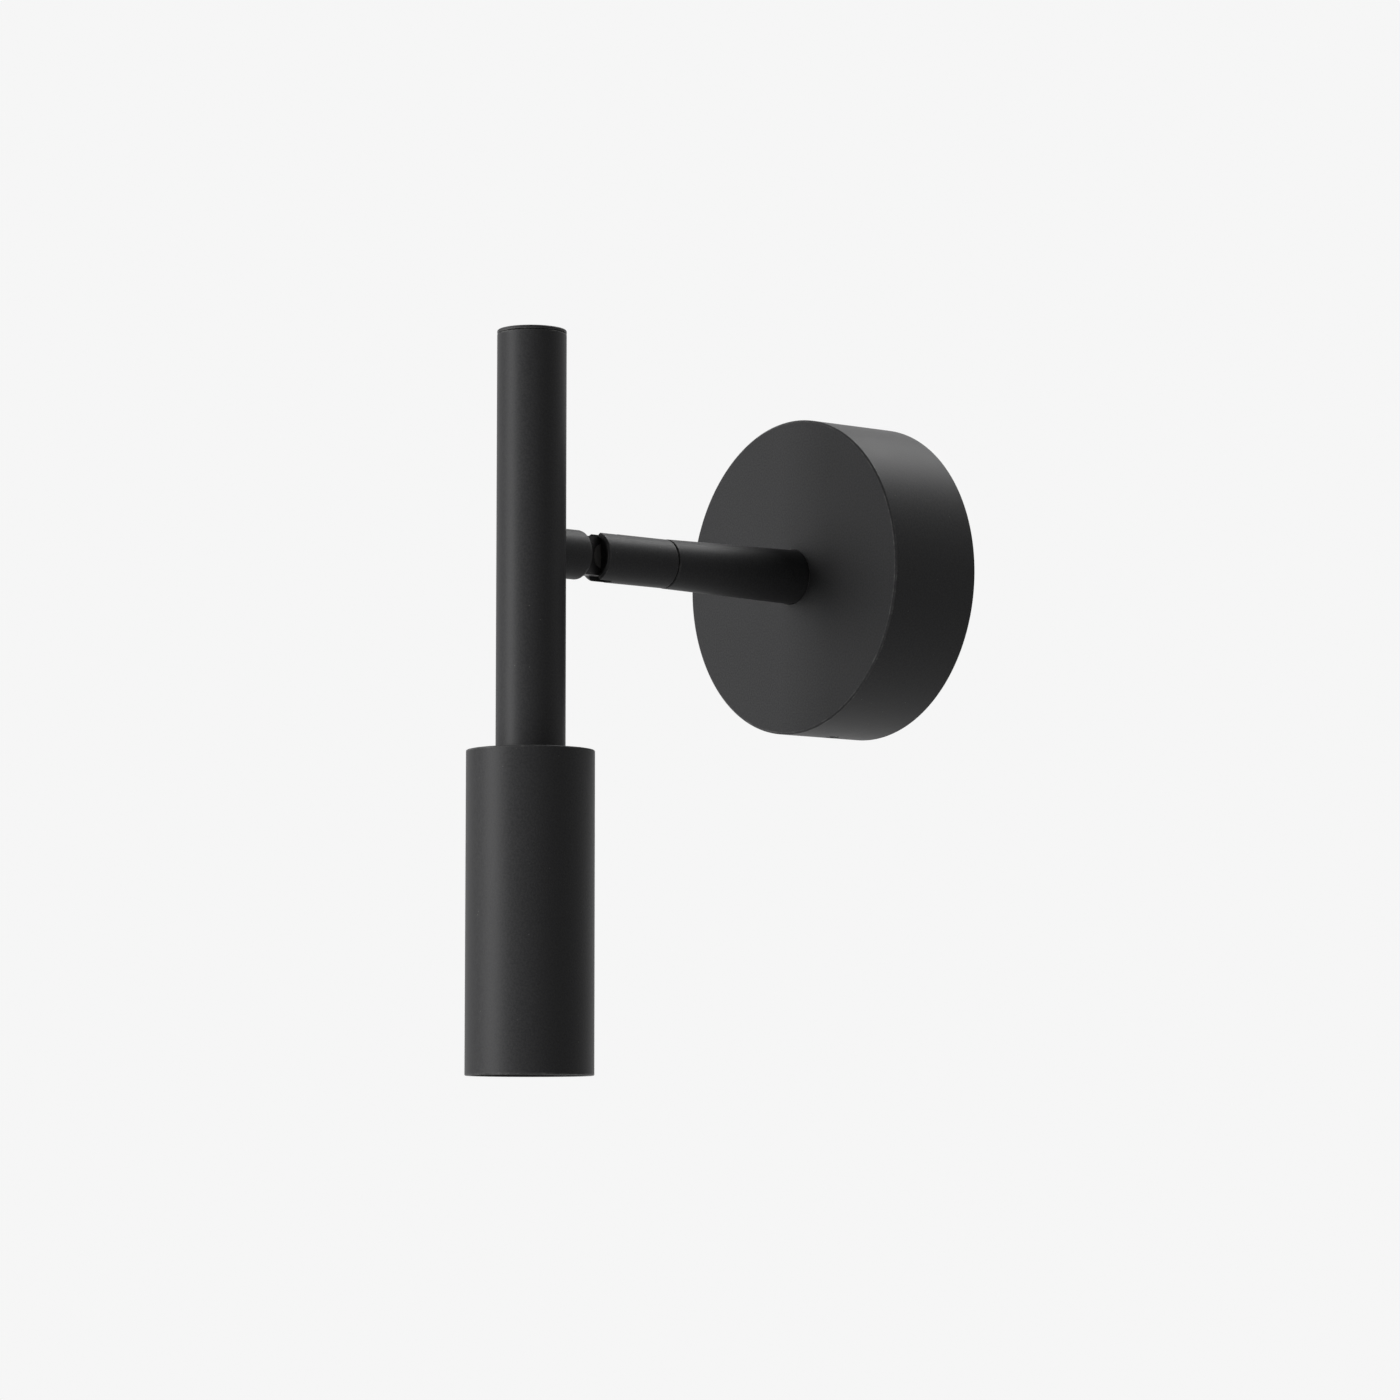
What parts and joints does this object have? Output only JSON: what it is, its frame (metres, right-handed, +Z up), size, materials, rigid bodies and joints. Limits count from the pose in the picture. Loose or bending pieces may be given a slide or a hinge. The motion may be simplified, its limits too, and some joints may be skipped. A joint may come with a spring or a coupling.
{
  "type": "wall spotlight",
  "caption": "Wall spotlight: a round canopy carries a short arm, a swivel barrel with a tilt knuckle, a slim upright tube and a cylindrical spot head that shines down.",
  "frame": {"origin": "centre of the canopy on the wall's surface, midway between the two wall screws", "axes": "+X to the right as seen by someone who faces the wall, +Y into the wall, +Z up; the arm points along -Y into the room and the lamp hangs along Z at rest"},
  "size_m": [0.1, 0.156, 0.2265],
  "materials": {
    "black_powder": "matte fine powder coat",
    "plate_steel": "zinc plated",
    "screw_steel": "zinc plated",
    "dark_steel": "blackened",
    "spring_steel": "hard spring steel",
    "turned_brass": "turned",
    "tinned_brass": "tinned",
    "grommet_rubber": "soft matte",
    "seal_rubber": "soft matte",
    "terminal_plastic": "moulded",
    "driver_plastic": "moulded",
    "board_green": "varnished board",
    "component_plastic": "taped windings",
    "friction_fibre": "pressed fibre",
    "live_brown": "wire sleeve",
    "neutral_blue": "wire sleeve",
    "earth_green": "wire sleeve",
    "lead_sleeve": "cable sleeve",
    "wire_red": "wire sleeve",
    "wire_black": "wire sleeve",
    "sink_aluminium": "turned",
    "foot_aluminium": "turned",
    "board_white": "white solder mask",
    "phosphor": "phosphor",
    "holder_plastic": "moulded",
    "reflector_metal": "bright evaporated",
    "lens_glass": "light frosting",
    "baffle_black": "black anodised"
  },
  "bodies": {
    "base": {"wall_plate": "plate_steel", "cable_grommet": "grommet_rubber", "canopy_cover": "black_powder", "cover_screws": "dark_steel", "terminal_block": "terminal_plastic", "terminal_screws": "screw_steel", "terminal_fixing_screw": "screw_steel", "earth_tag": "tinned_brass", "earth_screw": "screw_steel", "driver_base": "driver_plastic", "driver_lid": "driver_plastic", "driver_board": "board_green", "driver_parts": "component_plastic", "driver_screws": "screw_steel", "live_wire": "live_brown", "neutral_wire": "neutral_blue", "earth_wire": "earth_green", "arm_nipple": "turned_brass", "arm_washer": "screw_steel", "arm_nut": "screw_steel", "cord_grip": "terminal_plastic", "cord_grip_screw": "screw_steel", "arm_tube": "black_powder", "stop_pin": "spring_steel", "swivel_disc": "spring_steel", "swivel_spindle": "turned_brass", "disc_spring": "spring_steel", "arm_lead": "lead_sleeve"},
    "barrel": {"barrel_sleeve": "black_powder", "knuckle_fork": "dark_steel", "barrel_set_screw": "dark_steel", "pivot_pin": "spring_steel", "friction_discs": "friction_fibre"},
    "lamp": {"knuckle_tongue": "dark_steel", "stub_collar": "black_powder", "saddle_washer": "plate_steel", "shank_nut": "screw_steel", "slim_tube": "black_powder", "tube_cap": "black_powder", "tube_foot": "foot_aluminium", "head_shell": "black_powder", "heat_sink": "sink_aluminium", "led_board": "board_white", "led_emitter": "phosphor", "led_holder": "holder_plastic", "led_holder_screws": "screw_steel", "reflector": "reflector_metal", "front_lens": "lens_glass", "lens_gasket": "seal_rubber", "glare_baffle": "baffle_black", "lamp_wire_upper": "wire_red", "lamp_wire_lower": "wire_black"}
  },
  "joints": [
    {"name": "arm_swivel", "type": "hinge", "parent": "base", "child": "barrel", "pos_m": [0, -0.08485, 0], "axis": [0, -1, 0], "range_deg": [-170, 170]},
    {"name": "lamp_tilt", "type": "hinge", "parent": "barrel", "child": "lamp", "pos_m": [0, -0.11005, 0], "axis": [-1, 0, 0], "range_deg": [-45, 90]}
  ]
}
